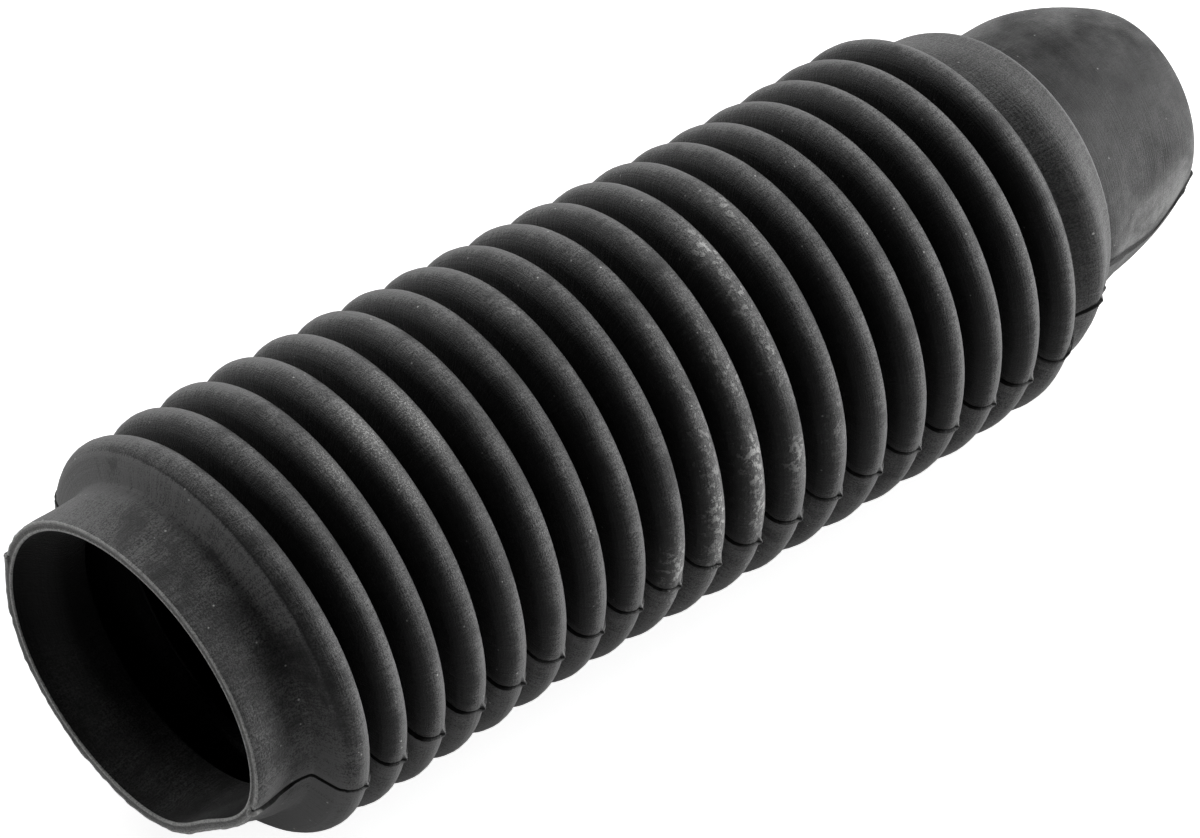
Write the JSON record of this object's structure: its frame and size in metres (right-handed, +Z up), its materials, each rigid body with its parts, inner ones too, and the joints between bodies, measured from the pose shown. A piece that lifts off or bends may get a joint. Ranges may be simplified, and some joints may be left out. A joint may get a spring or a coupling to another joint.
{
  "type": "rubber bellows boot",
  "caption": "Long rubber bellows boot with rounded folds, a soft wide cuff at one end, and a band and a narrower tapered cuff at the other.",
  "frame": {"origin": "middle of the bounding box, on the surface that the boot lies on", "axes": "+X along the boot's axis towards the small cuff, +Z up, +Y towards the far side"},
  "size_m": [0.2362, 0.0754, 0.0746],
  "materials": {
    "rubber": "matte to satin black, lightly dusted"
  },
  "bodies": {
    "root": {"bellows_boot": "rubber"}
  },
  "joints": []
}
